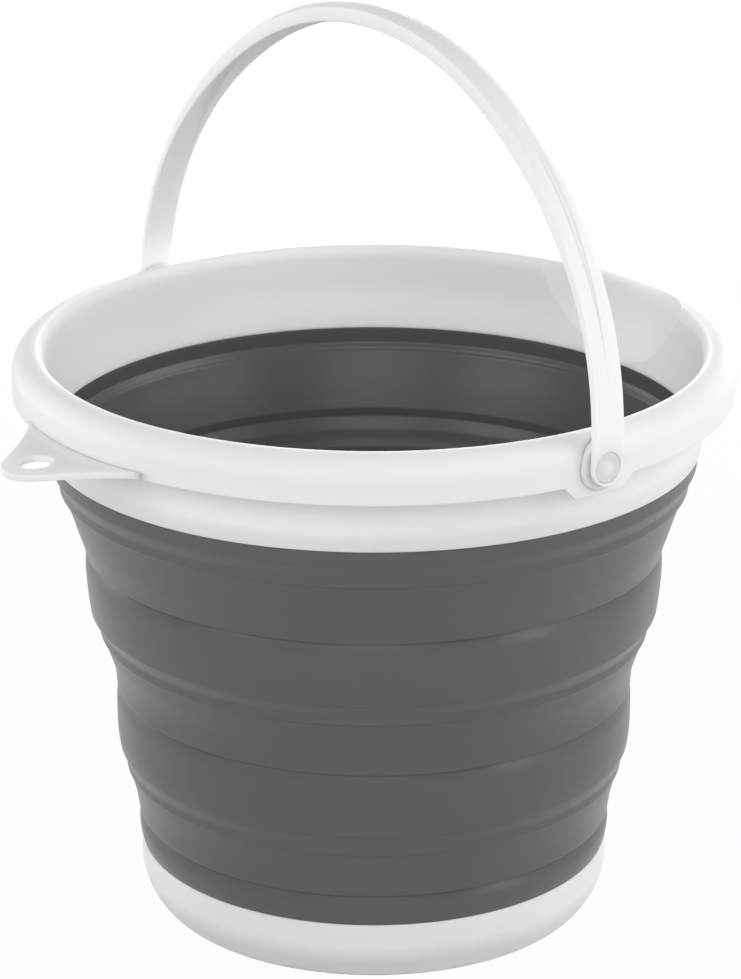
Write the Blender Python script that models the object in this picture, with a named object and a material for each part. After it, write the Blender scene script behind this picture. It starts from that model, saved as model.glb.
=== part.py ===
# Collapsible camp bucket, modelled in metres with +Z up.
# The origin is the middle of the underside. +X is the pouring side, -X the hanging tab,
# and the bail handle swings about an axis along Y.

import math

import bmesh
import bpy
from mathutils import Vector

# Facets of every turned piece, in one full turn
round_steps = 48
bore_steps = 24

# Gap that neighbouring pieces keep, and the running gap of the hinge
seam = 0.0003
overrun = 0.004

# Heights of the tiers, from the floor up
base_height = 0.0285
ring_3_height = 0.013
fold_3_height = 0.0265
ring_2_height = 0.0315
fold_2_height = 0.0315
ring_1_height = 0.032
fold_1_height = 0.038
top_band_height = 0.0116
rim_height = 0.0445

# Outer radius of the base, and the step outwards to each tier above it
base_radius = 0.1039
ring_3_step = 0.0009
ring_2_step = 0.009
ring_1_step = 0.0124
top_band_step = 0.0146
neck_step = 0.001
lip_overhang = 0.0142

# Walls
base_floor = 0.003
base_wall = 0.0025
bellows_wall = 0.0025
rim_wall = 0.0025

# Lap of the bellows inside the neck, which thins to a skin there
lap_height = 0.0059
neck_skin = 0.0012

# Rounding under the base
base_corner_width = 0.0099
base_corner_height = 0.015
base_corner_power = 2.8

# Rolled lip of the rim
lip_round = 0.0105
lip_inner_round = 0.003
mouth_flare = 0.0007
skirt_height = 0.0195
skirt_edge = 0.0008

# Pouring scoop, a leaning cylinder cut into the lip
spout_radius = 0.07
spout_depth = 0.037

# Hanging tab opposite the scoop
tab_thickness = 0.0024
tab_reach = 0.0325
tab_end_radius = 0.014
tab_root_width = 0.08
tab_hole_radius = 0.00725
tab_droop_degrees = 4.0

# Lug, boss and bore that carry the handle, alike on both sides. The hinge axis lies
# a little nearer the tab than the middle.
pivot_drop = 0.0126
pivot_offset = 0.0049
lug_width = 0.029
lug_drop = 0.004
lug_corner = 0.003
boss_radius = 0.012
boss_height = 0.001
eye_gap = 0.0007
pin_radius = 0.003

# Snap pin of the hinge
pin_head_radius = 0.0061
pin_head_height = 0.0011
pin_barb_height = 0.0009
pin_barb_lip = 0.0009

# Bail handle: a flat strip at the eyes that rolls into a channel at the grip
handle_rise = 0.1588
handle_lean_degrees = 3.2
strip_width = 0.0155
strip_thickness = 0.0028
strip_edge = 0.0007
grip_width = 0.0135
grip_crown = 0.0025
grip_depth = 0.0085
grip_wall = 0.0021
handle_groove_width = 0.003
handle_groove_depth = 0.0005
groove_least_share = 0.05
eye_floor = 0.0014
handle_steps = 40
eye_end_share = 0.985
roll_from_degrees = 12.0
roll_to_degrees = 58.0
groove_from_degrees = 11.0
groove_full_degrees = 40.0
groove_fade_degrees = 66.0

# Outlines of the bellows: height as a share of the node, and radius as a share
# of the way from the tier below to the tier above
ring_3_shares = ((0, 0.55), (0.35, 0.9), (0.7, 1), (1, 1))
fold_3_shares = ((0, 0), (0.23, 0.09), (0.41, 0.17), (0.6, 0.31), (0.79, 0.48),
                 (0.865, 0.575), (0.895, 0.535), (1, 0.665))
ring_2_shares = ((0, 0.665), (0.145, 0.81), (0.17, 0.88), (0.27, 0.945), (0.4, 1), (0.75, 1),
                 (1, 0.955))
fold_2_shares = ((0, -0.032), (0.2, -0.025), (0.36, 0.04), (0.51, 0.145), (0.66, 0.295),
                 (0.82, 0.45), (0.88, 0.57), (0.9, 0.53), (1, 0.655))
ring_1_shares = ((0, 0.655), (0.185, 0.8), (0.207, 0.85), (0.36, 0.92), (0.56, 0.96),
                 (0.86, 1), (1, 1))
fold_1_shares = ((0, 0), (0.13, 0.04), (0.26, 0.123), (0.38, 0.226), (0.51, 0.335), (0.63, 0.44),
                 (0.76, 0.57), (0.88, 0.705), (0.963, 0.81), (0.982, 0.775), (1, 0.79))
top_band_shares = ((0, 0.79), (0.285, 0.863), (0.353, 0.945), (0.6, 0.98), (1, 1))

# Insides of the folds, one wall further in: a thin hinge line runs round the middle of
# each fold, and the top band steps out to meet the lap
fold_3_inside_shares = ((0, 0), (0.27, 0.12), (0.42, 0.25), (0.52, 0.26), (0.79, 0.48),
                        (1, 0.665))
fold_2_inside_shares = ((0, -0.03), (0.27, 0.02), (0.42, 0.15), (0.52, 0.16), (0.82, 0.46),
                        (1, 0.655))
fold_1_inside_shares = ((0, 0), (0.13, 0.05), (0.27, 0.165), (0.416, 0.335), (0.516, 0.345),
                        (0.76, 0.55), (1, 0.79))
top_band_inside_shares = ((0, 0.8), (0.58, 0.9), (0.88, 1.065), (1, 1.065))

# Radii and heights worked out from the tiers
ring_3_radius = base_radius + ring_3_step
ring_2_radius = ring_3_radius + ring_2_step
ring_1_radius = ring_2_radius + ring_1_step
top_band_radius = ring_1_radius + top_band_step
neck_radius = top_band_radius + neck_step
rim_radius = neck_radius + lip_overhang
mouth_radius = neck_radius + mouth_flare
ring_3_bottom = base_height
fold_3_bottom = ring_3_bottom + ring_3_height
ring_2_bottom = fold_3_bottom + fold_3_height
fold_2_bottom = ring_2_bottom + ring_2_height
ring_1_bottom = fold_2_bottom + fold_2_height
fold_1_bottom = ring_1_bottom + ring_1_height
top_band_bottom = fold_1_bottom + fold_1_height
rim_bottom = top_band_bottom + top_band_height
lip_top = rim_bottom + rim_height
skirt_bottom = lip_top - skirt_height
pivot_height = lip_top - pivot_drop
skirt_inner_radius = rim_radius - rim_wall
skirt_middle_radius = rim_radius - rim_wall / 2
pivot_place = (-pivot_offset, 0, pivot_height)

# Places along the hinge axis, measured from the bucket's middle
boss_face = rim_radius + boss_height
eye_inner_face = boss_face + eye_gap
eye_outer_face = eye_inner_face + strip_thickness
pin_seat = eye_inner_face + eye_floor
pin_hole_radius = pin_radius + seam
pin_recess_radius = pin_head_radius + seam
pin_barb_radius = pin_hole_radius + pin_barb_lip
skirt_behind_pin = math.sqrt(skirt_inner_radius ** 2 - (pivot_offset + pin_barb_radius) ** 2)
pin_barb_face = skirt_behind_pin * math.cos(math.pi / round_steps) - seam


def clear_scene():
    for old in list(bpy.data.objects):
        bpy.data.objects.remove(old, do_unlink=True)


def plastic(name, colour, roughness):
    material = bpy.data.materials.new(name)
    material.use_nodes = True
    shader = material.node_tree.nodes["Principled BSDF"]
    shader.inputs["Base Color"].default_value = (*colour, 1)
    shader.inputs["Roughness"].default_value = roughness
    shader.inputs["Metallic"].default_value = 0
    return material


def add_object(name, bm, material=None, location=(0, 0, 0)):
    bmesh.ops.recalc_face_normals(bm, faces=bm.faces)
    mesh = bpy.data.meshes.new(name)
    bm.to_mesh(mesh)
    bm.free()
    mesh.shade_smooth()
    mesh.set_sharp_from_angle(angle=math.radians(28))
    made = bpy.data.objects.new(name, mesh)
    made.location = location
    if material:
        mesh.materials.append(material)
    bpy.context.collection.objects.link(made)
    return made


def add_tool(name, bm, location=(0, 0, 0)):
    tool = add_object(name, bm, location=location)
    tool.hide_render = True
    tool.display_type = "WIRE"
    return tool


def add_boolean(target, tool, operation):
    cut = target.modifiers.new(tool.name, "BOOLEAN")
    cut.operation = operation
    cut.solver = "EXACT"
    cut.object = tool


def turned(outline, steps=round_steps, axis="Z"):
    """Spin a closed outline of (radius, height) pairs one full turn."""
    bm = bmesh.new()
    verts = [bm.verts.new((radius, 0, height)) for radius, height in outline]
    edges = [bm.edges.new(pair) for pair in zip(verts, verts[1:])]
    if outline[0][0] > 0 or outline[-1][0] > 0:
        edges.append(bm.edges.new((verts[-1], verts[0])))
    bmesh.ops.spin(bm, geom=verts + edges, cent=(0, 0, 0), axis=(0, 0, 1),
                   angle=math.tau, steps=steps, use_merge=True)
    bmesh.ops.remove_doubles(bm, verts=bm.verts, dist=seam / 100)
    if axis == "Y":
        for vert in bm.verts:
            vert.co = Vector((vert.co.x, vert.co.z, -vert.co.y))
    return bm


def extruded(outline, bottom, top):
    """Raise a closed outline of (x, y) pairs from one height to another."""
    bm = bmesh.new()
    floor = bm.faces.new([bm.verts.new((x, y, bottom)) for x, y in outline])
    raised = bmesh.ops.extrude_face_region(bm, geom=[floor])
    for item in raised["geom"]:
        if isinstance(item, bmesh.types.BMVert):
            item.co.z = top
    return bm


def arc(centre, radius, start, end, count):
    """Points on a round stretch, angles in degrees, both ends included."""
    points = []
    for index in range(count):
        angle = math.radians(start + (end - start) * index / (count - 1))
        points.append((centre[0] + radius * math.cos(angle), centre[1] + radius * math.sin(angle)))
    return points


def smooth_step(value, start, end):
    share = min(max((value - start) / (end - start), 0), 1)
    return share * share * (3 - 2 * share)


def make_base(material):
    foot_radius = base_radius - base_corner_width
    corner = []
    for index in range(7):
        angle = math.radians(90 * index / 6)
        across = math.sin(angle) ** (2 / base_corner_power)
        up = 1 - math.cos(angle) ** (2 / base_corner_power)
        corner.append((foot_radius + base_corner_width * across, base_corner_height * up))
    top = base_height - seam / 2
    inner_radius = base_radius - base_wall
    inner_corner = [(inner_radius, base_corner_height), (inner_radius - base_wall, base_floor * 1.4),
                    (inner_radius - base_wall * 2.4, base_floor)]
    outline = [(0, 0)] + corner + [(base_radius, top), (inner_radius, top)] + inner_corner
    outline.append((0, base_floor))
    return add_object("base", turned(outline), material)


def make_tier(name, material, bottom, height, radius_below, radius_above, shares,
              inside_shares=None, lap=()):
    """One band of the bellows wall, with its neighbours a seam away."""
    low = bottom + seam / 2
    rise = height - seam

    def line(shares):
        return [(radius_below + (radius_above - radius_below) * radius_share,
                 low + rise * height_share) for height_share, radius_share in shares]

    inner = [(radius - bellows_wall, z) for radius, z in reversed(line(inside_shares or shares))]
    return add_object(name, turned(line(shares) + list(lap) + inner), material)


def make_bellows(material):
    make_tier("bellows_ring_3", material, ring_3_bottom, ring_3_height,
              base_radius, ring_3_radius, ring_3_shares)
    make_tier("bellows_fold_3", material, fold_3_bottom, fold_3_height,
              ring_3_radius, ring_2_radius, fold_3_shares, fold_3_inside_shares)
    make_tier("bellows_ring_2", material, ring_2_bottom, ring_2_height,
              ring_3_radius, ring_2_radius, ring_2_shares)
    make_tier("bellows_fold_2", material, fold_2_bottom, fold_2_height,
              ring_2_radius, ring_1_radius, fold_2_shares, fold_2_inside_shares)
    make_tier("bellows_ring_1", material, ring_1_bottom, ring_1_height,
              ring_2_radius, ring_1_radius, ring_1_shares)
    make_tier("bellows_fold_1", material, fold_1_bottom, fold_1_height,
              ring_1_radius, top_band_radius, fold_1_shares, fold_1_inside_shares)
    lap_root = rim_bottom - seam / 2
    lap_top = rim_bottom + lap_height
    lap_outer_radius = neck_radius - neck_skin - seam
    lap_inner_radius = neck_radius - rim_wall
    lap = [(lap_outer_radius, lap_root), (lap_outer_radius, lap_top),
           (lap_inner_radius, lap_top), (lap_inner_radius, lap_root)]
    make_tier("bellows_top_band", material, top_band_bottom, top_band_height,
              ring_1_radius, top_band_radius, top_band_shares, top_band_inside_shares, lap)


def rim_outline():
    lip_centre = (rim_radius - lip_round, lip_top - lip_round)
    roll_centre = (mouth_radius + lip_inner_round, lip_top - lip_inner_round)
    low = rim_bottom + seam / 2
    points = [(neck_radius, low), (mouth_radius + rim_wall, lip_top - lip_inner_round - rim_wall)]
    points += arc(lip_centre, lip_round - rim_wall, 75, 0, 4)
    points += [(skirt_inner_radius, skirt_bottom), (rim_radius - skirt_edge, skirt_bottom),
               (rim_radius, skirt_bottom + skirt_edge)]
    points += arc(lip_centre, lip_round, 0, 90, 6)
    if roll_centre[0] < lip_centre[0]:
        points.append((roll_centre[0], lip_top))
    points += arc(roll_centre, lip_inner_round, 120, 180, 3)
    shoulder = rim_bottom + lap_height + seam
    points += [(neck_radius - rim_wall, shoulder), (neck_radius - neck_skin, shoulder),
               (neck_radius - neck_skin, low)]
    return points


def spout_cylinder(radius):
    """The scoop's leaning cylinder, which reaches the skirt at the lip's top."""
    reach_low = neck_radius - rim_wall
    lean = (skirt_inner_radius - reach_low) / spout_depth
    top = lip_top + overrun
    bottom = lip_top - spout_depth - overrun
    bm = bmesh.new()
    made = bmesh.ops.create_cone(bm, cap_ends=True, segments=round_steps * 2, radius1=radius,
                                 radius2=radius, depth=top - bottom)
    middle = (top + bottom) / 2
    for vert in made["verts"]:
        vert.co.z += middle
        vert.co.x += skirt_inner_radius - spout_radius + lean * (vert.co.z - lip_top)
    return bm


def spout_shell():
    """Ring between the middles of the neck and skirt walls, where the scoop's back is filled."""
    neck_middle = neck_radius - rim_wall / 2
    mouth_middle = mouth_radius + rim_wall / 2
    crown = lip_top - lip_round
    outline = [(neck_middle, rim_bottom + rim_wall), (skirt_middle_radius, rim_bottom + rim_wall),
               (skirt_middle_radius, crown)]
    outline += [(rim_radius - lip_round, lip_top - rim_wall / 2),
                (mouth_middle, lip_top - lip_inner_round)]
    return outline


def tab_outline():
    """Half-round end blended by straight sides into the skirt."""
    centre = -(rim_radius + tab_reach - tab_end_radius)
    root = -(skirt_middle_radius - tab_root_width / 4)
    half = tab_root_width / 2
    gap = math.hypot(root - centre, half)
    turn = math.degrees(math.atan2(half, root - centre) + math.acos(tab_end_radius / gap))
    return [(root, half)] + arc((centre, 0), tab_end_radius, turn, 360 - turn, 13) + [(root, -half)]


def make_tab_tool():
    top = skirt_bottom + tab_thickness - seam
    bm = extruded(tab_outline(), top - tab_thickness, top)
    slope = math.tan(math.radians(tab_droop_degrees))
    for vert in bm.verts:
        beyond = max(-rim_radius - vert.co.x, 0)
        vert.co.z -= beyond * slope
    tab = add_tool("tab_tool", bm)
    add_boolean(tab, cylinder_tool("tab_trim", skirt_middle_radius, skirt_bottom - overrun,
                                   lip_top, round_steps), "DIFFERENCE")
    return tab


def cylinder_tool(name, radius, low, high, steps, place=(0, 0, 0), axis="Z"):
    bm = turned([(0, low), (radius, low), (radius, high), (0, high)], steps, axis)
    return add_tool(name, bm, place)


def make_lug_tool():
    """Both tongues below the skirt at once: one long bar kept only inside the skirt wall."""
    low = skirt_bottom - lug_drop
    high = pivot_height
    half = lug_width / 2
    bm = bmesh.new()
    section = [(-half - lug_corner, high), (-half - lug_corner, skirt_bottom),
               (-half, skirt_bottom - lug_corner / 2), (-half + lug_corner / 3, low),
               (half - lug_corner / 3, low), (half, skirt_bottom - lug_corner / 2),
               (half + lug_corner, skirt_bottom), (half + lug_corner, high)]
    face = bm.faces.new([bm.verts.new((x, -rim_radius - overrun, z)) for x, z in section])
    raised = bmesh.ops.extrude_face_region(bm, geom=[face])
    for item in raised["geom"]:
        if isinstance(item, bmesh.types.BMVert):
            item.co.y = rim_radius + overrun
    lugs = add_tool("lug_tool", bm, (-pivot_offset, 0, 0))
    inner = skirt_inner_radius + seam
    outer = rim_radius - seam
    wall = [(inner, low - overrun), (outer, low - overrun), (outer, lip_top), (inner, lip_top)]
    add_boolean(lugs, add_tool("lug_wall", turned(wall)), "INTERSECT")
    return lugs


def make_boss_tool():
    """Both bosses at once: one long bar kept only outside the middle of the lip and skirt wall."""
    bosses = cylinder_tool("boss_tool", boss_radius, -boss_face, boss_face, bore_steps * 2,
                           pivot_place, "Y")
    low = skirt_bottom - boss_radius
    lip_centre = (rim_radius - lip_round, lip_top - lip_round)
    middle = [(0, low), (skirt_middle_radius, low)]
    middle += arc(lip_centre, lip_round - rim_wall / 2, 0, 90, 7)
    middle += [(lip_centre[0], lip_top + boss_radius), (0, lip_top + boss_radius)]
    add_boolean(bosses, add_tool("boss_trim", turned(middle)), "DIFFERENCE")
    return bosses


def make_rim(material):
    rim = add_object("rim", turned(rim_outline()), material)
    scoop_back = add_tool("spout_back", spout_cylinder(spout_radius + rim_wall))
    add_boolean(scoop_back, add_tool("spout_shell", turned(spout_shell())), "INTERSECT")
    add_boolean(rim, scoop_back, "UNION")
    add_boolean(rim, make_tab_tool(), "UNION")
    add_boolean(rim, make_lug_tool(), "UNION")
    add_boolean(rim, make_boss_tool(), "UNION")
    add_boolean(rim, add_tool("spout_cut", spout_cylinder(spout_radius)), "DIFFERENCE")
    hole_place = (-(rim_radius + tab_reach - tab_end_radius), 0, skirt_bottom)
    add_boolean(rim, cylinder_tool("tab_hole", tab_hole_radius, -overrun, overrun, bore_steps,
                                   hole_place), "DIFFERENCE")
    reach = boss_face + overrun
    holes = cylinder_tool("pin_holes", pin_hole_radius, -reach, reach, bore_steps,
                          pivot_place, "Y")
    add_boolean(holes, cylinder_tool("pin_hole_core", skirt_inner_radius - overrun,
                                     skirt_bottom, lip_top, round_steps), "DIFFERENCE")
    add_boolean(rim, holes, "DIFFERENCE")
    return rim


def strip_section(degrees, half_width):
    """Closed section of the handle as (across, depth) pairs, depth counted inwards."""
    roll = smooth_step(degrees, roll_from_degrees, roll_to_degrees)
    widen = smooth_step(degrees, groove_from_degrees, groove_full_degrees)
    fade = 1 - smooth_step(degrees, groove_full_degrees, groove_fade_degrees)
    crown = grip_crown * roll
    depth = strip_thickness + (grip_depth - strip_thickness) * roll
    wall = strip_thickness + (grip_wall - strip_thickness) * roll
    groove = handle_groove_depth * widen * fade
    groove_half = handle_groove_width / 2 * max(widen, groove_least_share) * min(half_width / strip_width * 2, 1)
    edge = min(strip_edge, half_width / 6)
    inner_half = half_width - min(grip_wall, half_width / 3)

    def bow(across):
        return crown * (across / half_width) ** 2

    right = [(groove_half * 0.6, groove), (groove_half, bow(groove_half))]
    for share in (0.5, 0.78):
        right.append((half_width * share, bow(half_width * share)))
    right += [(half_width - edge, bow(half_width - edge)), (half_width, crown + edge),
              (half_width, depth - edge), (half_width - edge, depth)]
    for share, lift in ((1, 1), (0.94, 0), (0.5, 0)):
        across = inner_half * share
        ceiling = depth * (1 - roll) + (bow(across) + wall) * roll
        right.append((across, depth if lift else ceiling))
    left = [(-across, down) for across, down in reversed(right)]
    return right + left


def arch_place(degrees):
    """Point on the handle's outer face and its outward normal, in the plane of the hinge."""
    angle = math.radians(degrees)
    point = Vector((0, eye_outer_face * math.cos(angle), handle_rise * math.sin(angle)))
    normal = Vector((0, math.cos(angle) / eye_outer_face, math.sin(angle) / handle_rise))
    return point, normal.normalized()


def handle_rows():
    """Sections from the rounded end of one eye, over the arch, to the other."""
    end_radius = strip_width / 2
    rows = []
    for turn in (80, 62, 44, 26, 10):
        drop = end_radius * math.sin(math.radians(turn)) * eye_end_share
        half = end_radius * math.cos(math.radians(turn))
        rows.append((Vector((0, eye_outer_face, -drop)), Vector((0, 1, 0)), 0, half))
    for index in range(handle_steps // 2 + 1):
        degrees = 180 * index / handle_steps
        point, normal = arch_place(degrees)
        roll = smooth_step(degrees, roll_from_degrees, roll_to_degrees)
        half = (strip_width + (grip_width - strip_width) * roll) / 2
        rows.append((point, normal, degrees, half))
    flip = Vector((1, -1, 1))
    mirrored = [(point * flip, normal * flip, degrees, half)
                for point, normal, degrees, half in reversed(rows[:-1])]
    return rows + mirrored


def make_handle(material, hinge):
    bm = bmesh.new()
    loops = []
    for point, normal, degrees, half in handle_rows():
        section = strip_section(degrees, half)
        loops.append([bm.verts.new(point + Vector((across, 0, 0)) - normal * depth)
                      for across, depth in section])
    for near, far in zip(loops, loops[1:]):
        for index in range(len(near)):
            follow = (index + 1) % len(near)
            bm.faces.new((near[index], near[follow], far[follow], far[index]))
    bm.faces.new(loops[0])
    bm.faces.new(loops[-1])
    handle = add_object("handle", bm, material)
    handle.parent = hinge
    for side, name in ((-1, "eye_bore_front"), (1, "eye_bore_rear")):
        bore = [(0, eye_inner_face - overrun), (pin_hole_radius, eye_inner_face - overrun),
                (pin_hole_radius, pin_seat), (pin_recess_radius, pin_seat),
                (pin_recess_radius, eye_outer_face + overrun), (0, eye_outer_face + overrun)]
        bore = [(radius, side * along) for radius, along in bore]
        tool = add_tool(name, turned(bore, bore_steps, "Y"))
        tool.parent = hinge
        add_boolean(handle, tool, "DIFFERENCE")
    return handle


def make_pin(name, side, material):
    """Snap pin: a flat head in the eye's recess, a shank, and a barb behind the skirt."""
    seat = pin_seat + seam
    tip = pin_barb_face - pin_barb_height
    outline = [(0, tip), (pin_radius, tip), (pin_barb_radius, pin_barb_face),
               (pin_radius, pin_barb_face),
               (pin_radius, seat), (pin_head_radius, seat),
               (pin_head_radius, seat + pin_head_height / 2),
               (pin_head_radius - pin_head_height / 2, seat + pin_head_height),
               (0, seat + pin_head_height)]
    outline = [(radius, side * along) for radius, along in outline]
    return add_object(name, turned(outline, bore_steps, "Y"), material, pivot_place)


def main():
    clear_scene()
    white = plastic("white_plastic", (0.82, 0.82, 0.82), 0.38)
    grey = plastic("grey_elastomer", (0.115, 0.115, 0.12), 0.5)
    hinge = bpy.data.objects.new("handle_hinge", None)
    hinge.location = pivot_place
    hinge.rotation_euler = (0, math.radians(handle_lean_degrees), 0)
    bpy.context.collection.objects.link(hinge)
    make_base(white)
    make_bellows(grey)
    make_rim(white)
    make_handle(white, hinge)
    make_pin("pivot_pin_front", -1, white)
    make_pin("pivot_pin_rear", 1, white)


main()
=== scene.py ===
# Looks of a collapsible camp bucket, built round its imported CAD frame.
# Metres, +Z up. The pouring scoop points to +X, the hanging tab to -X, and the
# handle's axis lies along Y. The outlines below are in millimetres.

import math

import bmesh
import bpy
from mathutils import Matrix, Vector


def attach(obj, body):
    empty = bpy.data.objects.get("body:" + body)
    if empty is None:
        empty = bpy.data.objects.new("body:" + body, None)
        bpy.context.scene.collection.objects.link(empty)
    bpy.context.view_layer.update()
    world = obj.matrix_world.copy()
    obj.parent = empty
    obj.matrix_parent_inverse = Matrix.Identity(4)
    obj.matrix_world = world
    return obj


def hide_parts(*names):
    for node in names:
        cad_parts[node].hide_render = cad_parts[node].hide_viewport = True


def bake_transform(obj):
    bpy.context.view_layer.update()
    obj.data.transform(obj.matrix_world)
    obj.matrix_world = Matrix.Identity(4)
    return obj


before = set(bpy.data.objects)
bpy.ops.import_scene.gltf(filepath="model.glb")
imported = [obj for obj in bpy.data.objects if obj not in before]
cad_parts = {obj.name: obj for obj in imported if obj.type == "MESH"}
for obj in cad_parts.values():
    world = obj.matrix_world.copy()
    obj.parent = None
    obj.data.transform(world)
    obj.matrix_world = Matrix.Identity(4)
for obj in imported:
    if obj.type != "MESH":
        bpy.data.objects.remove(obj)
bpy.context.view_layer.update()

mm = 0.001
weldGap = 1e-6  # metres
print("frame loaded, pieces:", len(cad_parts))


class Signal:
    # One socket of a material, so that shader maths reads as a plain expression
    def __init__(self, tree, socket=None):
        self.tree = tree
        self.socket = socket

    def node(self, kind, settings={}, values={}, output=0):
        made = self.tree.nodes.new(kind)
        for name, value in settings.items():
            setattr(made, name, value)
        for name, value in values.items():
            if isinstance(value, Signal):
                self.tree.links.new(value.socket, made.inputs[name])
            else:
                made.inputs[name].default_value = value
        return Signal(self.tree, made.outputs[output] if made.outputs else None)

    def maths(self, operation, first, second):
        return self.node("ShaderNodeMath", {"operation": operation}, {0: first, 1: second})

    def __add__(self, other):
        return self.maths("ADD", self, other)

    def __radd__(self, other):
        return self.maths("ADD", other, self)

    def __sub__(self, other):
        return self.maths("SUBTRACT", self, other)

    def __rsub__(self, other):
        return self.maths("SUBTRACT", other, self)

    def __mul__(self, other):
        return self.maths("MULTIPLY", self, other)

    def __rmul__(self, other):
        return self.maths("MULTIPLY", other, self)


def newMaterial(name):
    material = bpy.data.materials.new(name)
    material.use_nodes = True
    material.node_tree.nodes.clear()
    return material, Signal(material.node_tree)


# The noises that every moulded surface has: cloudy colour, smeary gloss and fine mould grain
noises = {"cloud": {"Detail": 3.0, "Roughness": 0.55}, "smear": {"Detail": 4.0, "Roughness": 0.6},
          "grain": {"Detail": 2.0, "Roughness": 0.5}}
noiseMiddle = 0.5
grainInGloss = 0.5


def mouldedFinish(name, look):
    material, graph = newMaterial(name)
    place = graph.node("ShaderNodeTexCoord", output=3)
    cloud, smear, grain = [
        graph.node("ShaderNodeTexNoise", {}, {"Vector": place, "Scale": look[kind + "Scale"], **detail})
        for kind, detail in noises.items()]
    tint = graph.node("ShaderNodeMix", {"data_type": "RGBA"},
                      {0: cloud, 6: (*look["shade"], 1), 7: (*look["light"], 1)}, output=2)
    gloss = (look["roughness"] + (smear - noiseMiddle) * look["smear"]
             + (grain - noiseMiddle) * look["smear"] * grainInGloss)
    bump = graph.node("ShaderNodeBump", {}, {"Height": grain, "Strength": look["bump"],
                                             "Distance": look["grainDepth"]})
    shader = graph.node("ShaderNodeBsdfPrincipled", {}, {
        "Base Color": tint, "Roughness": gloss, "Normal": bump, "IOR": look["ior"],
        "Specular IOR Level": look["specular"], "Subsurface Weight": look["milky"],
        "Subsurface Radius": (1.0, 1.0, 1.0), "Subsurface Scale": look["milkyDepth"]})
    graph.node("ShaderNodeOutputMaterial", {}, {"Surface": shader})
    return material


whiteLook = {"shade": (0.82, 0.82, 0.82), "light": (0.845, 0.845, 0.845), "roughness": 0.56,
             "smear": 0.08, "bump": 0.12, "grainDepth": 0.00005, "cloudScale": 9.0,
             "smearScale": 26.0, "grainScale": 1500.0, "ior": 1.47, "specular": 0.3,
             "milky": 0.5, "milkyDepth": 0.005}
pinLook = {**whiteLook, "roughness": 0.3, "cloudScale": 40.0}
greyLook = {"shade": (0.091, 0.091, 0.092), "light": (0.100, 0.100, 0.101), "roughness": 0.34,
            "smear": 0.10, "bump": 0.25, "grainDepth": 0.00006, "cloudScale": 11.0,
            "smearScale": 30.0, "grainScale": 1100.0, "ior": 1.48, "specular": 0.38,
            "milky": 0.0, "milkyDepth": 0.001}

whitePlastic = mouldedFinish("white_polypropylene", whiteLook)
pinPlastic = mouldedFinish("white_acetal", pinLook)
greyElastomer = mouldedFinish("grey_elastomer_skin", greyLook)
print("materials made")


def turnOutward(bm):
    # Faces all look outwards, also on a piece mirrored to the other side
    bmesh.ops.recalc_face_normals(bm, faces=bm.faces)
    if bm.calc_volume(signed=True) < 0:
        bmesh.ops.reverse_faces(bm, faces=bm.faces)


def addPiece(name, bm, material, sharpAngle=30, turned=False):
    if not turned:
        turnOutward(bm)
    mesh = bpy.data.meshes.new(name)
    bm.to_mesh(mesh)
    bm.free()
    mesh.shade_smooth()
    mesh.set_sharp_from_angle(angle=math.radians(sharpAngle))
    mesh.materials.append(material)
    piece = bpy.data.objects.new(name, mesh)
    bpy.context.scene.collection.objects.link(piece)
    return piece


def arc(centre, radius, start, end, count):
    # Points of a round stretch, angles in degrees
    turns = [math.radians(start + (end - start) * index / (count - 1)) for index in range(count)]
    return [(centre[0] + radius * math.cos(turn), centre[1] + radius * math.sin(turn))
            for turn in turns]


def curve(start, middle, end, share):
    # One point of the bend that leaves start and reaches end, drawn towards middle
    return start * (1 - share) ** 2 + middle * 2 * share * (1 - share) + end * share ** 2


def smoothStep(value, start, end):
    share = min(max((value - start) / (end - start), 0), 1)
    return share * share * (3 - 2 * share)


def eased(corners, pieces=4, longest=None, mostOfSide=0.48):
    # Rounds each corner (across, up, rounding) of an open line, then splits its long stretches
    line = []
    for index, corner in enumerate(corners):
        here = Vector(corner[:2])
        rounding = corner[2] if len(corner) > 2 else 0
        if rounding == 0 or index in (0, len(corners) - 1):
            line.append(here)
            continue
        before = Vector(corners[index - 1][:2]) - here
        after = Vector(corners[index + 1][:2]) - here
        start = here + before.normalized() * min(rounding, before.length * mostOfSide)
        end = here + after.normalized() * min(rounding, after.length * mostOfSide)
        line += [curve(start, here, end, step / pieces) for step in range(pieces + 1)]
    if not longest:
        return [tuple(point) for point in line]
    split = [line[0]]
    for point in line[1:]:
        last = split[-1]
        count = max(math.ceil((point - last).length / longest), 1)
        split += [last.lerp(point, step / count) for step in range(1, count + 1)]
    return [tuple(point) for point in split]


def spun(outline, steps, closed=True, axis="Z"):
    # Turns an outline of (radius, height) millimetres round the bucket's axis, or round Y
    bm = bmesh.new()
    verts = [bm.verts.new((radius * mm, 0, height * mm)) for radius, height in outline]
    edges = [bm.edges.new(pair) for pair in zip(verts, verts[1:])]
    if closed:
        edges.append(bm.edges.new((verts[-1], verts[0])))
    bmesh.ops.spin(bm, geom=verts + edges, cent=(0, 0, 0), axis=(0, 0, 1), angle=math.tau,
                   steps=steps, use_merge=True)
    bmesh.ops.remove_doubles(bm, verts=bm.verts, dist=weldGap)
    if axis == "Y":
        bmesh.ops.rotate(bm, verts=bm.verts, cent=(0, 0, 0),
                         matrix=Matrix.Rotation(math.radians(-90), 3, "X"))
    return bm


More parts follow.
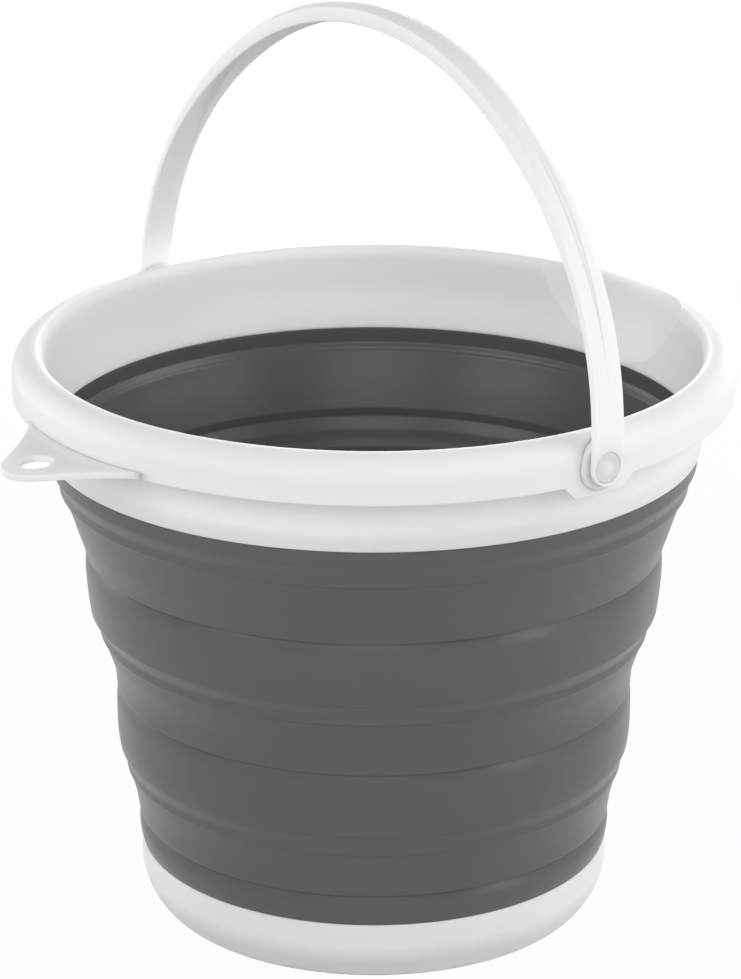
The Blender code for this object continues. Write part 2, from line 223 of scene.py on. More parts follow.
# The base stands on a ring that leaves a shallow dish under it
baseShape = {
    "radius": 103.95, "top": 28.35, "wall": 2.5, "floor": 3.0, "steps": 288, "longest": 6.0,
    "footRadius": 93.8, "footHeight": 17.6, "footPower": 1.5, "footPoints": 15,
    "ring": 86.0, "ringDepth": 0.8, "ringSlope": 1.5, "ringRoundings": (0.8, 0.6),
    "topSide": 0.9, "topChamfer": 0.25, "topRoundings": (0.4, 0.25, 0.3),
    "cornerHeight": 9.5, "cornerWidth": 5.5, "cornerRoundings": (3, 4),
}


def baseOutline(shape):
    ring = shape["ring"]
    outer = shape["radius"]
    inner = outer - shape["wall"]
    dish, footEdge = shape["ringRoundings"]
    side, chamfer, brim = shape["topRoundings"]
    wallEnd, floorEnd = shape["cornerRoundings"]
    foot = []
    for index in range(shape["footPoints"]):
        turn = math.radians(90 * index / (shape["footPoints"] - 1))
        across = math.sin(turn) ** (2 / shape["footPower"])
        up = 1 - math.cos(turn) ** (2 / shape["footPower"])
        foot.append((shape["footRadius"] + (outer - shape["footRadius"]) * across,
                     shape["footHeight"] * up, 0))
    corners = [(0, shape["ringDepth"]), (ring - shape["ringSlope"], shape["ringDepth"], dish),
               (ring, 0, footEdge)] + foot
    corners += [(outer, shape["top"] - shape["topSide"], side),
                (outer - shape["topChamfer"], shape["top"], chamfer), (inner, shape["top"], brim),
                (inner, shape["cornerHeight"], wallEnd),
                (inner - shape["cornerWidth"], shape["floor"], floorEnd), (0, shape["floor"])]
    return eased(corners, longest=shape["longest"])


base = addPiece("base_shell", spun(baseOutline(baseShape), baseShape["steps"], closed=False),
                whitePlastic)
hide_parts("base")
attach(base, "base")
print("base made")


# The bellows is one wall in three tiers, split at the step under each stiff ring.
# Each outside goes up and each inside comes down: radius, height, rounding.
# Each tier also names its two bodies and, under "bend", the heights of the fold between them.
bellowsShape = {"steps": 256, "rowGap": 1.5}
bellowsTiers = {
    "lower": {
        "nodes": ("bellows_ring_3", "bellows_fold_3"), "bodies": ("base", "ring_2"),
        "bend": (42.3, 68.0),
        "outside": [(103.55, 28.5), (104.5, 31.6, 2), (104.95, 36.4, 1.2), (104.75, 38.0, 1),
                    (103.9, 41.0, 0.8), (103.5, 42.15, 0.2), (104.85, 42.5, 0.25),
                    (105.2, 44.6, 1.2), (105.6, 47.6, 2.5), (106.4, 52.4, 2.5),
                    (107.7, 57.4, 2.5), (108.7, 61.0, 1.2), (109.3, 63.3, 0.4),
                    (110.15, 63.9, 0.3), (110.3, 67.9, 0.5), (112.0, 72.3, 0.5), (112.3, 73.3)],
        "inside": [(110.0, 73.3), (107.9, 66.0, 2), (105.7, 59.2, 0.5), (105.2, 56.4, 0.5),
                   (103.8, 52.4, 0.8), (103.1, 47.6, 2), (102.3, 41.2, 1.5), (102.5, 38.0, 2),
                   (101.9, 31.6, 1), (101.1, 28.5)],
    },
    "middle": {
        "nodes": ("bellows_ring_2", "bellows_fold_2"), "bodies": ("ring_2", "ring_1"),
        "bend": (102.2, 131.0),
        "outside": [(112.4, 73.3), (112.9, 73.7, 0.35), (113.5, 77.6, 2), (113.9, 82.0, 3),
                    (114.0, 91.6, 3), (113.95, 95.4, 1.6), (113.7, 97.4, 1), (112.9, 100.7, 0.8),
                    (112.45, 102.0, 0.2), (113.75, 102.4, 0.25), (113.9, 105.8, 2),
                    (114.5, 110.8, 2.5), (115.7, 115.6, 2.5), (117.4, 120.3, 2.5),
                    (118.7, 124.3, 1.4), (119.75, 127.4, 0.4), (120.75, 128.0, 0.3),
                    (120.95, 132.2, 0.5), (123.5, 136.7, 0.5), (123.9, 137.6)],
        "inside": [(121.7, 137.6), (119.6, 131.6, 2), (116.9, 125.3, 2), (115.0, 120.2, 0.5),
                   (114.6, 117.2, 0.5), (112.6, 112.2, 0.8), (111.4, 107.0, 2), (110.8, 99.0, 1.5),
                   (111.3, 92.0, 3), (111.2, 80.0, 3), (110.0, 73.3)],
    },
    "upper": {
        "nodes": ("bellows_ring_1", "bellows_fold_1", "bellows_top_band"),
        "bodies": ("ring_1", "rim"), "bend": (166.5, 201.0),
        "outside": [(124.1, 137.6), (124.6, 138.1, 0.35), (125.4, 144.0, 2.5), (126.0, 150.5, 3),
                    (126.4, 156.5, 2.5), (126.35, 160.2, 1.6), (126.1, 162.0, 1),
                    (125.3, 165.0, 0.8), (124.85, 166.25, 0.2), (126.45, 166.65, 0.25),
                    (127.0, 169.0, 1), (128.2, 172.9, 2.5), (129.8, 177.4, 2.5),
                    (131.3, 182.4, 2.5), (132.8, 186.9, 2.5), (134.5, 191.9, 2.5),
                    (135.7, 194.9, 0.4), (137.0, 195.5, 0.3), (137.3, 199.8, 0.5),
                    (139.9, 204.6, 0.5), (140.4, 205.8, 0.5), (140.95, 211.9, 0.4),
                    (140.7, 212.55, 0.2), (140.3, 212.6), (140.3, 218.4, 0.25),
                    (139.35, 218.5, 0.3)],
        "inside": [(139.3, 211.5, 0.5), (138.0, 209.7, 0.35), (137.75, 209.0, 0.3),
                   (136.8, 207.9, 0.5), (135.7, 204.0, 2), (134.4, 200.0, 2), (131.7, 191.9, 3),
                   (128.7, 182.6, 0.45), (128.6, 178.8, 0.5), (126.1, 173.3, 0.8),
                   (124.9, 168.4, 2), (123.5, 165.0, 1.2), (123.2, 162.0, 1.5), (123.6, 157.0, 3),
                   (122.8, 145.0, 3), (121.7, 137.6)],
    },
}


def makeTier(name, tier):
    outline = eased(tier["outside"] + tier["inside"], longest=bellowsShape["rowGap"])
    piece = addPiece("bellows_" + name, spun(outline, bellowsShape["steps"]), greyElastomer)
    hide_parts(*tier["nodes"])
    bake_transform(piece)


for tierName, tier in bellowsTiers.items():
    makeTier(tierName, tier)
print("bellows made")


# The rim: rolled lip, skirt and neck in one sheet of rows and columns, with the scoop cut in
rimShape = {
    "columns": 600, "wallRows": 24, "scoopRows": 14, "lipRows": 38,
    "wallPower": 1.7, "lipPower": 1.12, "pointGap": 0.4, "hiddenGap": 3.0,
    "wall": 2.5, "outside": 156.0, "top": 257.1, "lipRadius": 10.5, "lipPoints": 49,
    "mouth": 141.7, "rollRadius": 3.8, "rollHeight": 6.5, "rollTurns": (180, 87, -3),
    "neckInside": 139.3, "neckFoot": 141.8, "foot": 212.7, "lapTop": 218.8, "lapFace": 140.6,
    "neckRounding": 1.5, "footRounding": 0.45, "lapRounding": 0.1,
    "skirtBottom": 237.6, "skirtSide": 0.8, "skirtRoundings": (0.7, 0.6),
    "hollowHeights": (241, 244), "hollowTurn": 75, "hollowPoints": 8, "hollowMargin": 1,
}
# The scoop's two edges are rounded where its cut is longer than leastCut
scoopShape = {"radius": 70.0, "depth": 37.0, "back": 2.5, "crease": 1.2, "edge": 0.8,
              "bevelSteps": 3, "leastCut": 2, "searchFrom": 25.0, "searchStep": 0.02,
              "backTurn": 40, "roofSteps": 160, "roofStep": 0.1, "columnSpot": (5, 1.0)}
lugShape = {"half": 15.2, "drop": 5.4, "side": 4.8, "shift": 4.8, "sideways": 0.7,
            "columnSpot": (5, 0.8)}
hair = 0.01  # room for rounding, in millimetres, where places are compared

lipCentre = (rimShape["outside"] - rimShape["lipRadius"], rimShape["top"] - rimShape["lipRadius"])
rollCentre = (rimShape["mouth"] + rimShape["rollRadius"], rimShape["top"] - rimShape["rollHeight"])
skirtInside = rimShape["outside"] - rimShape["wall"]
scoopCentre = skirtInside - scoopShape["radius"]
scoopLean = (skirtInside - rimShape["neckInside"]) / scoopShape["depth"]


def scoopReach(angle, height, radius):
    # How far from the bucket's middle the scoop's leaning cylinder lies in one direction
    centre = scoopCentre + scoopLean * (height - rimShape["top"])
    room = radius ** 2 - (centre * math.sin(angle)) ** 2
    if room <= 0 or math.cos(angle) < 0:
        return 0
    return centre * math.cos(angle) + math.sqrt(room)


def shownLine():
    # What shows from above: up the neck's inside, over the roll and the lip, down the skirt
    shape = rimShape
    line = eased([(shape["neckInside"], shape["lapTop"]), (shape["mouth"], rollCentre[1])],
                 longest=shape["pointGap"])
    turns = [math.radians(turn) for turn in range(*shape["rollTurns"])]
    line += [(rollCentre[0] + shape["rollRadius"] * math.cos(turn),
              rollCentre[1] + shape["rollHeight"] * math.sin(turn)) for turn in turns[1:]]
    line += arc(lipCentre, shape["lipRadius"], 90, 0, shape["lipPoints"])[1:]
    skirtEnd = (shape["outside"], shape["skirtBottom"] + shape["skirtSide"])
    return line + eased([line[-1], skirtEnd], longest=shape["pointGap"])[1:]


lipLine = shownLine()
lipLengths = [0]
for near, far in zip(lipLine, lipLine[1:]):
    lipLengths.append(lipLengths[-1] + math.dist(near, far))


def onLip(length):
    # The place that lies a running length along the shown line
    low, high = 0, len(lipLine) - 1
    while high - low > 1:
        middle = (low + high) // 2
        if lipLengths[middle] <= length:
            low = middle
        else:
            high = middle
    share = (length - lipLengths[low]) / (lipLengths[high] - lipLengths[low])
    return tuple(near + (far - near) * share for near, far in zip(lipLine[low], lipLine[high]))


def scoopSpan(angle):
    # Where the scoop's cylinder cuts the lip's line in one direction
    depths = [scoopReach(angle, height, scoopShape["radius"]) - radius for radius, height in lipLine]
    cut = [index for index, depth in enumerate(depths) if depth > 0]
    if not cut:
        return None
    ends = []
    for inner, outer in ((cut[0], cut[0] - 1), (cut[-1], cut[-1] + 1)):
        outer = min(max(outer, 0), len(lipLine) - 1)
        gap = depths[inner] - depths[outer]
        share = depths[inner] / gap if gap > 0 else 0
        ends.append(lipLengths[inner] + (lipLengths[outer] - lipLengths[inner]) * share)
    return ends


# The scoop's corner is the last direction, in degrees, in which it still cuts the lip
scoopCorner = scoopShape["searchFrom"]
while not scoopSpan(math.radians(scoopCorner)):
    scoopCorner -= scoopShape["searchStep"]
cornerLength = sum(scoopSpan(math.radians(scoopCorner))) / 2


def columnAngles(count, spots):
    # Directions over a full turn, closer together round each spot (degrees, weight, width)
    fine = 3600
    running = [0]
    for index in range(fine):
        angle = -180 + 360 * (index + 0.5) / fine
        weight = 1
        for centre, extra, width in spots:
            off = (angle - centre + 180) % 360 - 180
            weight += extra * math.exp(-(off / width) ** 2)
        running.append(running[-1] + weight)
    angles, index = [], 0
    for column in range(count + 1):
        target = running[-1] * column / count
        while index < fine - 1 and running[index + 1] < target:
            index += 1
        share = (target - running[index]) / (running[index + 1] - running[index])
        angles.append(math.radians(-180 + 360 * (index + share) / fine))
    return angles


def rimColumns():
    scoopSpots = [(side * scoopCorner, *scoopShape["columnSpot"]) for side in (1, -1)]
    half, shift = [math.degrees(lugShape[name] / rimShape["outside"]) for name in ("half", "shift")]
    lugSpots = [(side * 90 + side * sign * half + side * shift, *lugShape["columnSpot"])
                for side in (-1, 1) for sign in (-1, 1)]
    return columnAngles(rimShape["columns"], scoopSpots + lugSpots)


def lugDrop(angle):
    # How far the skirt's edge comes down at the two lugs
    if abs(math.sin(angle)) < lugShape["sideways"]:
        return 0
    across = abs(rimShape["outside"] * math.cos(angle) + lugShape["shift"])
    share = (lugShape["half"] + lugShape["side"] / 2 - across) / lugShape["side"]
    return lugShape["drop"] * min(max(share, 0), 1)


def lipReach(inset, height):
    # Radius of the lip's round, drawn in by an inset, at one height
    up = max(height - lipCentre[1], 0)
    return lipCentre[0] + math.sqrt(max((rimShape["lipRadius"] - inset) ** 2 - up ** 2, 0))


def cavityRoof(angle):
    # Height at which the back of the scoop closes the hollow under the lip
    for index in range(scoopShape["roofSteps"]):
        height = rimShape["top"] - rimShape["wall"] - index * scoopShape["roofStep"]
        back = scoopReach(angle, height, scoopShape["radius"] + scoopShape["back"])
        if back < lipReach(rimShape["wall"], height):
            return height
    return rimShape["skirtBottom"]


def hiddenLine():
    # The rows that don't follow the scoop: skirt edge, hollow, neck and lap
    shape = rimShape
    outerEdge, innerEdge = shape["skirtRoundings"]
    skirt = eased([(shape["outside"], shape["skirtBottom"] + shape["skirtSide"]),
                   (shape["outside"], shape["skirtBottom"], outerEdge),
                   (skirtInside, shape["skirtBottom"], innerEdge), (skirtInside, lipCentre[1])])
    hollow = [(skirtInside, height) for height in shape["hollowHeights"]]
    hollow += arc(lipCentre, shape["lipRadius"] - shape["wall"], 0, shape["hollowTurn"],
                  shape["hollowPoints"])
    neck = eased([hollow[-1],
                  (shape["mouth"] + shape["wall"], rollCentre[1] - shape["wall"],
                   shape["neckRounding"]),
                  (shape["neckFoot"], shape["foot"], shape["footRounding"]),
                  (shape["lapFace"], shape["foot"], shape["lapRounding"]),
                  (shape["lapFace"], shape["lapTop"], shape["lapRounding"]),
                  (shape["neckInside"], shape["lapTop"])], longest=shape["hiddenGap"])
    return skirt[:-1] + hollow + neck[1:]


def makeRim():
    shape = rimShape
    hidden = hiddenLine()
    wallRows, scoopRows, lipRows = shape["wallRows"], shape["scoopRows"], shape["lipRows"]
    shown = wallRows + scoopRows + lipRows
    rowCount = shown + len(hidden) - 1
    angles = rimColumns()
    spans = []
    for angle in angles:
        span = scoopSpan(angle) if abs(angle) < math.radians(scoopCorner) else None
        spans.append(span or (cornerLength, cornerLength))
    roofs = [cavityRoof(angle) if abs(angle) < math.radians(scoopShape["backTurn"]) else None
             for angle in angles]
    backRadius = scoopShape["radius"] + scoopShape["back"]
    end = lipLengths[-1]
    bm = bmesh.new()
    mark = bm.verts.layers.int.new("crease")
    bmesh.ops.create_grid(bm, x_segments=shape["columns"], y_segments=rowCount, size=0.5)
    for vert in bm.verts:
        column = round((vert.co.x + 0.5) * shape["columns"])
        row = round((vert.co.y + 0.5) * rowCount)
        angle = angles[column]
        low, high = spans[column]
        if row <= wallRows:
            radius, height = onLip(low * (1 - (1 - row / wallRows) ** shape["wallPower"]))
            if row == wallRows and high - low > scoopShape["leastCut"]:
                vert[mark] = 1
        elif row < wallRows + scoopRows:
            share = (row - wallRows) / scoopRows
            first, last = onLip(low), onLip(high)
            height = first[1] + (last[1] - first[1]) * share
            radius = first[0]
            if high - low >= hair:
                radius = scoopReach(angle, height, scoopShape["radius"])
        elif row <= shown:
            share = (row - wallRows - scoopRows) / lipRows
            radius, height = onLip(high + (end - high) * share ** shape["lipPower"])
            if row == wallRows + scoopRows and high - low > scoopShape["leastCut"]:
                vert[mark] = 2
        else:
            radius, height = hidden[row - shown]
            inHollow = (height > shape["lapTop"] + shape["hollowMargin"]
                        and radius > shape["neckInside"] + shape["hollowMargin"])
            if roofs[column] and inHollow and radius < scoopReach(angle, height, backRadius) + hair:
                # The hollow under the lip ends at the back of the scoop
                back = scoopReach(angle, min(height, roofs[column]), backRadius)
                height = min(height, roofs[column])
                radius = max(back, radius if height > roofs[column] - hair else back)
        if radius > skirtInside - hair and height < lipCentre[1]:
            height -= lugDrop(angle) * (lipCentre[1] - height) / (lipCentre[1] - shape["skirtBottom"])
        vert.co = Vector((radius * math.cos(angle), radius * math.sin(angle), height)) * mm
    bmesh.ops.remove_doubles(bm, verts=bm.verts, dist=2 * weldGap)
    bmesh.ops.recalc_face_normals(bm, faces=bm.faces)
    for which, width in ((1, scoopShape["crease"]), (2, scoopShape["edge"])):
        edges = [edge for edge in bm.edges if all(vert[mark] == which for vert in edge.verts)]
        bmesh.ops.bevel(bm, geom=edges, offset=width * mm, offset_type="OFFSET", affect="EDGES",
                        segments=scoopShape["bevelSteps"], profile=0.5, material=-1,
                        clamp_overlap=True)
        for vert in bm.verts:
            vert[mark] = vert[mark] if vert[mark] != which else 0
    return bm


# The tab's sides flare out along the skirt, and its root ends inside the skirt's wall
tabShape = {
    "thickness": 2.8, "reach": 32.5, "endRadius": 14.4, "rootHalf": 32.0, "rootX": 154.0,
    "flareHalf": 46.0, "root": 154.5, "hole": 7.25, "droop": 4.0, "sink": 0.3,
    "rounding": 0.5, "roundingSteps": 3, "edgeAngle": 1.2, "upright": 0.5,
    "nosePoints": 61, "sideSteps": 16, "rootPoints": 33, "holePoints": 60,
}


def tabOutline(shape, end):
    root = Vector((-shape["rootX"], shape["rootHalf"]))
    away = root - end
    turn = math.degrees(math.atan2(away.y, away.x) + math.acos(shape["endRadius"] / away.length))
    nose = arc(end, shape["endRadius"], turn, 360 - turn, shape["nosePoints"])
    corner = Vector((-math.sqrt(shape["root"] ** 2 - shape["flareHalf"] ** 2), shape["flareHalf"]))
    side = [tuple(curve(corner, root, Vector(nose[0]), step / shape["sideSteps"]))
            for step in range(1, shape["sideSteps"])]
    turn = math.degrees(math.atan2(corner.y, corner.x))
    outline = side + nose + [(x, -y) for x, y in reversed(side)]
    return outline + arc((0, 0), shape["root"], 360 - turn, turn, shape["rootPoints"])


def makeTab():
    shape = tabShape
    bm = bmesh.new()
    end = Vector((-(rimShape["outside"] + shape["reach"] - shape["endRadius"]), 0))
    hole = arc(end, shape["hole"], 0, 360 - 360 / shape["holePoints"], shape["holePoints"])
    top = rimShape["skirtBottom"] + shape["thickness"] - shape["sink"]
    made = []
    for ring in (tabOutline(shape, end), hole):
        verts = [bm.verts.new((x * mm, y * mm, top * mm)) for x, y in ring]
        made += [bm.edges.new(pair) for pair in zip(verts, verts[1:] + verts[:1])]
    filled = bmesh.ops.triangle_fill(bm, use_beauty=True, use_dissolve=False, edges=made)
    faces = [item for item in filled["geom"] if isinstance(item, bmesh.types.BMFace)]
    raised = bmesh.ops.extrude_face_region(bm, geom=faces, use_keep_orig=True)
    lowered = [item for item in raised["geom"] if isinstance(item, bmesh.types.BMVert)]
    bmesh.ops.translate(bm, verts=lowered, vec=(0, 0, -shape["thickness"] * mm))
    rims = made + [item for item in raised["geom"]
                   if isinstance(item, bmesh.types.BMEdge)
                   and any(abs(face.normal.z) < shape["upright"] for face in item.link_faces)]
    bm.normal_update()
    rims = [edge for edge in rims if edge.is_valid and len(edge.link_faces) == 2
            and edge.calc_face_angle(0) > shape["edgeAngle"]]
    bmesh.ops.bevel(bm, geom=rims, offset=shape["rounding"] * mm, offset_type="OFFSET",
                    affect="EDGES", segments=shape["roundingSteps"], profile=0.5, material=-1,
                    clamp_overlap=True)
    slope = math.tan(math.radians(shape["droop"]))
    for vert in bm.verts:
        vert.co.z -= (-vert.co.x - rimShape["outside"] * mm) * slope
    turnOutward(bm)
    return bm


bossShape = {"radius": 10.6, "back": 150, "backReach": 0.5, "face": 156.9, "rounding": 1.6,
             "steps": 96}
pivot = Vector((-0.0049, 0, 0.2445))  # middle of the handle's axis, in metres


def addBosses(bm):
    shape = bossShape
    outline = eased([(0, shape["back"]), (shape["radius"], shape["back"]),
                     (shape["radius"], shape["face"], shape["rounding"]), (0, shape["face"])])
    for side in (-1, 1):
        disc = spun(outline, shape["steps"], closed=False, axis="Y")
        for vert in disc.verts:
            vert.co += pivot
            if abs(vert.co.y) < (shape["back"] + shape["backReach"]) * mm:
                # The back follows the middle of the skirt's wall
                reach = lipReach(rimShape["wall"] / 2, vert.co.z / mm) * mm
                vert.co.y = math.copysign(math.sqrt(reach ** 2 - vert.co.x ** 2), vert.co.y)
            vert.co.y *= side if vert.co.y > 0 else -side
        turnOutward(disc)
        mesh = bpy.data.meshes.new("boss")
        disc.to_mesh(mesh)
        disc.free()
        bm.from_mesh(mesh)
        bpy.data.meshes.remove(mesh)


fittingsMesh = makeTab()
addBosses(fittingsMesh)
fittings = bpy.data.meshes.new("rim_fittings")
fittingsMesh.to_mesh(fittings)
fittingsMesh.free()
rimMesh = makeRim()
turnOutward(rimMesh)
rimMesh.from_mesh(fittings)
bpy.data.meshes.remove(fittings)
rim = addPiece("rim_shell", rimMesh, whitePlastic, turned=True)
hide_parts("rim")
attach(rim, "rim")
print("rim made, scoop corner at", round(scoopCorner, 2))


# The handle is flat at its eyes and rolls into an open channel towards the grip.
# Roll, groove and fade run between two places along the arch, in degrees from an eye.
handleShape = {
    "halfSpan": 160.5, "rise": 158.75, "lean": 3.2, "width": 15.5, "thickness": 2.8, "edge": 0.7,
    "gripWidth": 13.5, "crown": 2.5, "depth": 8.5, "wall": 2.1,
    "grooveWidth": 4.0, "grooveDepth": 0.85, "steps": 240,
    "roll": (12, 58), "groove": (11, 40), "fade": (40, 66),
    "grooveRise": 3, "leastGroove": 0.08, "ridge": (0.9, 0.8), "valleyShares": (0.2, 0.5, 0.75),
    "crownShares": (0.15, 0.35, 0.55, 0.75, 0.88), "crownPoints": 10, "edgeRoom": 1.01,
    "edgeTurns": (0, 22, 45, 68, 90), "edgePart": 4, "wallPart": 3,
    "endTurns": (88, 82, 75, 67, 58, 49, 40, 31, 22, 14, 7),
    "insideShares": ((1, 1), (0.985, 0.5), (0.95, 0.08), (0.88, 0), (0.6, 0), (0.3, 0), (0, 0)),
}


def handleSection(degrees, half):
    # Half of the strip's section as (across, depth), depth counted inwards from the outer face
    shape = handleShape
    roll = smoothStep(degrees, *shape["roll"])
    widen = smoothStep(degrees, *shape["groove"])
    fade = 1 - smoothStep(degrees, *shape["fade"])
    crown = shape["crown"] * roll
    depth = shape["thickness"] + (shape["depth"] - shape["thickness"]) * roll
    wall = shape["thickness"] + (shape["wall"] - shape["thickness"]) * roll
    groove = shape["grooveDepth"] * min(widen * shape["grooveRise"], 1) * fade
    grooveHalf = shape["grooveWidth"] / 2 * max(widen, shape["leastGroove"])
    # Edge and wall get smaller where the strip narrows at its round ends
    edge = min(shape["edge"], half / shape["edgePart"])
    inner = half - min(shape["wall"], half / shape["wallPart"])

    def bow(across):
        return crown * (across / half) ** 2

    # Two fine valleys with a low ridge between them
    top, shoulder = shape["ridge"]
    near, valley, far = shape["valleyShares"]
    line = [(0, groove * (1 - widen) * top), (grooveHalf * near, groove * (1 - widen * shoulder)),
            (grooveHalf * valley, groove), (grooveHalf * far, groove * far),
            (grooveHalf, bow(grooveHalf))]
    start = grooveHalf / half
    corner = (half - edge, bow(half - edge))
    for share in shape["crownShares"]:
        across = min(half * (start + (1 - start) * share), half - edge)
        line.append((across, bow(across)))
    line = [point for point in line if point[0] < half - edge * shape["edgeRoom"]]
    line += [corner] * (shape["crownPoints"] - len(line))
    turns = [math.radians(turn) for turn in shape["edgeTurns"]]
    line += [(corner[0] + edge * math.sin(turn), corner[1] + edge * (1 - math.cos(turn)))
             for turn in turns]
    line += [(corner[0] + edge * math.cos(turn), depth - edge + edge * math.sin(turn))
             for turn in turns]
    for share, lift in shape["insideShares"]:
        across = inner * share
        ceiling = depth * (1 - roll) + (bow(across) + wall) * roll
        line.append((across, ceiling + (depth - ceiling) * lift))
    return line


def handleRows():
    # From one eye over the arch to the other: place, outward direction, degrees, half width
    shape = handleShape
    rows = []
    endRadius = shape["width"] / 2
    for turn in [math.radians(turn) for turn in shape["endTurns"]]:
        rows.append((Vector((0, shape["halfSpan"], -endRadius * math.sin(turn))),
                     Vector((0, 1, 0)), 0, endRadius * math.cos(turn)))
    for index in range(shape["steps"] // 2 + 1):
        degrees = 180 * index / shape["steps"]
        angle = math.radians(degrees)
        point = Vector((0, shape["halfSpan"] * math.cos(angle), shape["rise"] * math.sin(angle)))
        normal = Vector((0, math.cos(angle) / shape["halfSpan"], math.sin(angle) / shape["rise"]))
        roll = smoothStep(degrees, *shape["roll"])
        half = (shape["width"] + (shape["gripWidth"] - shape["width"]) * roll) / 2
        rows.append((point, normal.normalized(), degrees, half))
    flip = Vector((1, -1, 1))
    return rows + [(point * flip, normal * flip, degrees, half)
                   for point, normal, degrees, half in reversed(rows[:-1])]


def makeHandle():
    rows = handleRows()
    loops = []
    for point, normal, degrees, half in rows:
        right = handleSection(degrees, half)
        section = right + [(-across, down) for across, down in reversed(right[1:-1])]
        loops.append([point + Vector((across, 0, 0)) - normal * down for across, down in section])
    around = len(loops[0])
    bm = bmesh.new()
    bmesh.ops.create_grid(bm, x_segments=len(rows) - 1, y_segments=around, size=0.5)
    for vert in bm.verts:
        row = round((vert.co.x + 0.5) * (len(rows) - 1))
        step = round((vert.co.y + 0.5) * around)
        vert.co = loops[row][step % around] * mm
    bmesh.ops.remove_doubles(bm, verts=bm.verts, dist=weldGap)
    bmesh.ops.holes_fill(bm, edges=[edge for edge in bm.edges if edge.is_boundary], sides=0)
    lean = Matrix.Rotation(math.radians(handleShape["lean"]), 4, "Y")
    bmesh.ops.transform(bm, matrix=Matrix.Translation(pivot) @ lean, verts=bm.verts)
    return bm


def spunOnSide(outline, steps, side):
    # A turned piece on the hinge's axis, on the side that -1 or 1 names
    bm = spun(outline, steps, closed=False, axis="Y")
    for vert in bm.verts:
        vert.co.y = abs(vert.co.y) * side
        vert.co += pivot
    return bm


eyeShape = {"recess": 6.5, "seat": 159.1, "bore": 3.3, "steps": 96, "sharpAngle": 24,
            "chamfer": 0.5, "chamferFrom": 160.0, "flare": 1.0, "flareTo": 161,
            "toolEnds": (150, 164)}


def cutEyes(piece):
    # A recess for the pin's head and a bore for its shank, in each eye
    shape = eyeShape
    near, far = shape["toolEnds"]
    wide = shape["recess"] + shape["flare"]
    outline = [(0, near), (shape["bore"], near), (shape["bore"], shape["seat"]),
               (shape["recess"], shape["seat"]), (shape["recess"], shape["chamferFrom"]),
               (shape["recess"] + shape["chamfer"], shape["chamferFrom"] + shape["chamfer"]),
               (wide, shape["flareTo"]), (wide, far), (0, far)]
    tools = []
    for side in (-1, 1):
        tool = addPiece("eye_tool", spunOnSide(outline, shape["steps"], side), whitePlastic)
        cut = piece.modifiers.new("eye", "BOOLEAN")
        cut.operation = "DIFFERENCE"
        cut.solver = "EXACT"
        cut.object = tool
        tools.append(tool)
    bpy.context.view_layer.update()
    ready = bpy.context.evaluated_depsgraph_get()
    shaped = bpy.data.meshes.new_from_object(piece.evaluated_get(ready))
    piece.modifiers.clear()
    piece.data = shaped
    shaped.shade_smooth()
    shaped.set_sharp_from_angle(angle=math.radians(shape["sharpAngle"]))
    for tool in tools:
        bpy.data.objects.remove(tool, do_unlink=True)


handle = addPiece("bail_handle", makeHandle(), whitePlastic)
cutEyes(handle)
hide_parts("handle")
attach(handle, "handle")
print("handle made")


# Each pin snaps through the eye and the boss, its barb behind the skirt
pinShape = {
    "radius": 3.0, "tip": 152.1, "tipChamfer": 0.3, "barb": 4.2, "barbFace": 153.05,
    "barbSide": 0.15, "barbEdge": 0.1, "head": 6.35, "seat": 159.35, "face": 160.1,
    "headSide": 0.1, "headSlope": 0.8, "headRoundings": (0.1, 0.35, 0.5), "steps": 96,
}


def pinOutline(shape):
    under, side, face = shape["headRoundings"]
    return eased([(0, shape["tip"]),
                  (shape["radius"] - shape["tipChamfer"], shape["tip"], shape["tipChamfer"]),
                  (shape["barb"], shape["barbFace"] - shape["barbSide"], shape["barbEdge"]),
                  (shape["barb"] - shape["barbEdge"], shape["barbFace"]),
                  (shape["radius"], shape["barbFace"]), (shape["radius"], shape["seat"]),
                  (shape["head"], shape["seat"], under),
                  (shape["head"], shape["face"] - shape["headSide"], side),
                  (shape["head"] - shape["headSlope"], shape["face"], face), (0, shape["face"])])


for pinName, side in (("pivot_pin_front", -1), ("pivot_pin_rear", 1)):
    pin = addPiece(pinName + "_snap", spunOnSide(pinOutline(pinShape), pinShape["steps"], side),
                   pinPlastic)
    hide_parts(pinName)
    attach(pin, "rim")
print("pins made")


# White floor and backdrop, lamps all round, and the camera that fits the photograph
stage = {
    "floorSize": 30.0, "floorColour": 0.65, "floorGlow": 0.96, "speckle": 0.004, "speckleScale": 3.0,
    "world": 0.28, "lampReach": 1.9, "lampAim": 0.18,
    "camera": (-1.00621, -1.29952, 0.78273), "tilt": 70.122, "turn": -37.7, "lens": 147.09,
    "sensor": 36.0,
}
# Turn and rise in degrees, lift, width and height in metres, and power in watts
lamps = {
    "front": (-127.75, 27, 0, 1.2, 1.2, 9.8),
    "left": (-182.75, 27, 0, 1.2, 1.2, 13.2),
    "right": (-37.75, 27, 0, 1.2, 1.2, 15.2),
    "right_strip": (-67.75, 0, 0.37, 0.5, 1.0, 6.0),
    "back_right_strip": (22.25, 0, 0.37, 0.5, 1.0, 8.6),
    "back_strip": (52.25, 0, 0.37, 0.5, 1.0, 20.0),
    "back_left_strip": (112.25, 0, 0.37, 0.5, 1.0, 10.5),
}
plainWhite = (1, 1, 1, 1)


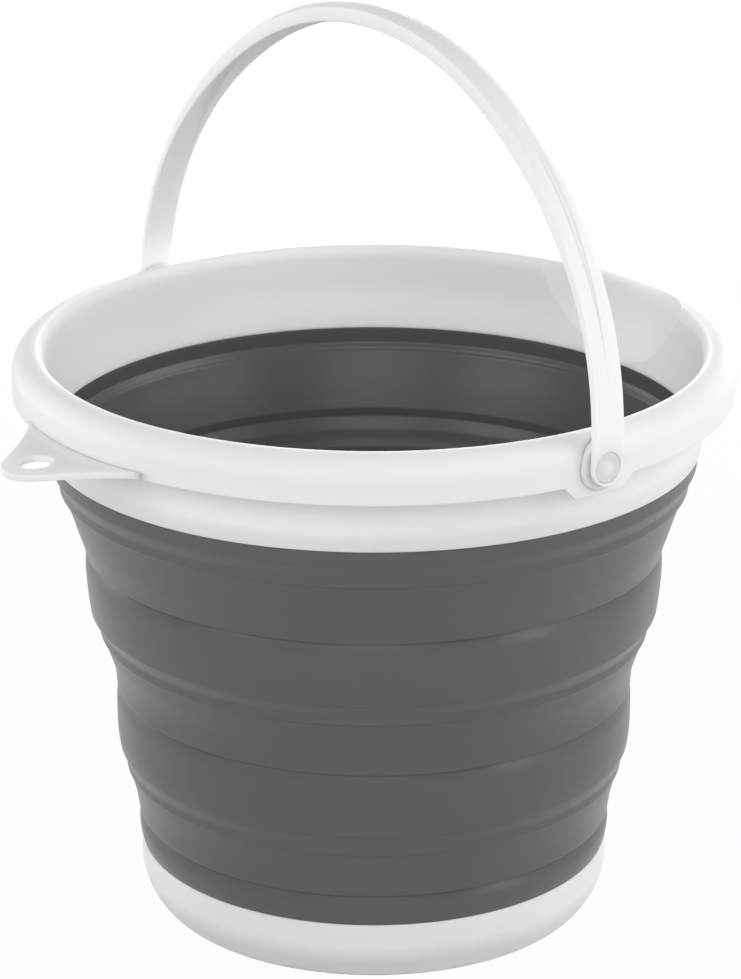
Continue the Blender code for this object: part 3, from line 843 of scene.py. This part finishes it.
def makeFloor():
    material, graph = newMaterial("studio_floor")
    path = graph.node("ShaderNodeLightPath")
    seen = Signal(material.node_tree, path.socket.node.outputs["Is Camera Ray"])
    glossy = Signal(material.node_tree, path.socket.node.outputs["Is Glossy Ray"])
    place = graph.node("ShaderNodeTexCoord", output=3)
    speckle = graph.node("ShaderNodeTexNoise", {}, {"Vector": place, "Scale": stage["speckleScale"]})
    matt = graph.node("ShaderNodeBsdfDiffuse", {}, {
        "Color": (*[stage["floorColour"]] * 3, 1), "Roughness": 0.0})
    glow = graph.node("ShaderNodeEmission", {}, {"Color": plainWhite, "Strength": 1.0})
    share = (seen + glossy) * stage["floorGlow"] + (speckle - noiseMiddle) * stage["speckle"]
    mixed = graph.node("ShaderNodeMixShader", {}, {0: share, 1: matt, 2: glow})
    graph.node("ShaderNodeOutputMaterial", {}, {"Surface": mixed})
    bm = bmesh.new()
    bmesh.ops.create_grid(bm, x_segments=2, y_segments=2, size=stage["floorSize"] / 2)
    floor = addPiece("studio_floor", bm, material)


def makeWorld():
    # The camera sees plain white, and the bucket gets the softer light
    world = bpy.data.worlds.new("studio")
    world.use_nodes = True
    world.node_tree.nodes.clear()
    graph = Signal(world.node_tree)
    path = graph.node("ShaderNodeLightPath")
    seen = Signal(world.node_tree, path.socket.node.outputs["Is Camera Ray"])
    soft, white = [graph.node("ShaderNodeBackground", {}, {"Color": plainWhite, "Strength": strength})
                   for strength in (stage["world"], 1.0)]
    mixed = graph.node("ShaderNodeMixShader", {}, {0: seen, 1: soft, 2: white})
    graph.node("ShaderNodeOutputWorld", {}, {"Surface": mixed})
    bpy.context.scene.world = world


def makeLamps():
    aim = Vector((0, 0, stage["lampAim"]))
    for name, (turn, rise, lift, width, height, power) in lamps.items():
        away = (Matrix.Rotation(math.radians(turn), 3, "Z")
                @ Matrix.Rotation(math.radians(-rise), 3, "Y"))
        place = aim + away @ Vector((stage["lampReach"], 0, 0)) + Vector((0, 0, lift))
        light = bpy.data.lights.new("lamp_" + name, "AREA")
        light.shape = "RECTANGLE"
        light.size = width
        light.size_y = height
        light.energy = power
        lamp = bpy.data.objects.new("lamp_" + name, light)
        lamp.location = place
        lamp.rotation_euler = (aim - place).to_track_quat("-Z", "Y").to_euler()
        bpy.context.scene.collection.objects.link(lamp)


def makeCamera():
    lens = bpy.data.cameras.new("photo_camera")
    lens.sensor_fit = "AUTO"
    lens.sensor_width = stage["sensor"]
    lens.lens = stage["lens"]
    camera = bpy.data.objects.new("photo_camera", lens)
    camera.location = stage["camera"]
    camera.rotation_euler = (math.radians(stage["tilt"]), 0, math.radians(stage["turn"]))
    bpy.context.scene.collection.objects.link(camera)
    bpy.context.scene.camera = camera


makeFloor()
makeWorld()
makeLamps()
makeCamera()
bpy.context.scene.view_settings.view_transform = "Standard"
print("stage made")
